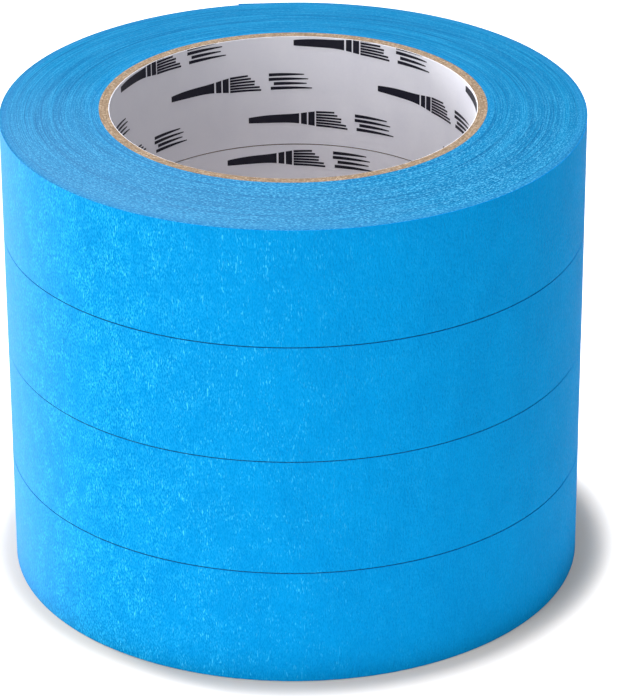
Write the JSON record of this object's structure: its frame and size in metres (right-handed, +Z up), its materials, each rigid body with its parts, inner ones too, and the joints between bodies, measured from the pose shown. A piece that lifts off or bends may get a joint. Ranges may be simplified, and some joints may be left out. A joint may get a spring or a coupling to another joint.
{
  "type": "masking tape roll stack",
  "caption": "Stack of crepe masking tape rolls on paperboard cores, free to lift apart, each with a free end that peels back from its outer turn.",
  "frame": {"origin": "centre of the bottom face of the stack, on the axis of the bore, where it rests on a surface", "axes": "+Z up along the bore; +X and +Y in the plane of the bottom face, the tapes' free ends lying on the +Y side"},
  "size_m": [0.122, 0.1222, 0.1016],
  "materials": {
    "tape": "matte",
    "board": "matte",
    "liner": "satin"
  },
  "bodies": {
    "roll_1": {"roll_1_core_liner": "liner", "roll_1_core_inner_ply": "board", "roll_1_core_middle_ply": "board", "roll_1_core_outer_ply": "board", "roll_1_tape_winding": "tape", "roll_1_tape_last_turn": "tape"},
    "free_end_1": {"roll_1_tape_free_end": "tape"},
    "roll_2": {"roll_2_core_liner": "liner", "roll_2_core_inner_ply": "board", "roll_2_core_middle_ply": "board", "roll_2_core_outer_ply": "board", "roll_2_tape_winding": "tape", "roll_2_tape_last_turn": "tape"},
    "free_end_2": {"roll_2_tape_free_end": "tape"},
    "roll_3": {"roll_3_core_liner": "liner", "roll_3_core_inner_ply": "board", "roll_3_core_middle_ply": "board", "roll_3_core_outer_ply": "board", "roll_3_tape_winding": "tape", "roll_3_tape_last_turn": "tape"},
    "free_end_3": {"roll_3_tape_free_end": "tape"},
    "roll_4": {"roll_4_core_liner": "liner", "roll_4_core_inner_ply": "board", "roll_4_core_middle_ply": "board", "roll_4_core_outer_ply": "board", "roll_4_tape_winding": "tape", "roll_4_tape_last_turn": "tape"},
    "free_end_4": {"roll_4_tape_free_end": "tape"}
  },
  "joints": [
    {"name": "roll_2_lift", "type": "slide", "parent": "roll_1", "child": "roll_2", "axis": [0, 0, 1], "range_m": [0, 0.05]},
    {"name": "roll_3_lift", "type": "slide", "parent": "roll_2", "child": "roll_3", "axis": [0, 0, 1], "range_m": [0, 0.05]},
    {"name": "roll_4_lift", "type": "slide", "parent": "roll_3", "child": "roll_4", "axis": [0, 0, 1], "range_m": [0, 0.05]},
    {"name": "free_end_1_peel", "type": "hinge", "parent": "roll_1", "child": "free_end_1", "pos_m": [0.04945, 0.03593, 0.0127], "axis": [0, 0, -1], "range_deg": [0, 90]},
    {"name": "free_end_2_peel", "type": "hinge", "parent": "roll_2", "child": "free_end_2", "pos_m": [-0.0229, 0.05667, 0.0381], "axis": [0, 0, -1], "range_deg": [0, 90]},
    {"name": "free_end_3_peel", "type": "hinge", "parent": "roll_3", "child": "free_end_3", "pos_m": [0.03763, 0.04816, 0.0635], "axis": [0, 0, -1], "range_deg": [0, 90]},
    {"name": "free_end_4_peel", "type": "hinge", "parent": "roll_4", "child": "free_end_4", "pos_m": [0.01061, 0.06019, 0.0889], "axis": [0, 0, -1], "range_deg": [0, 90]}
  ]
}
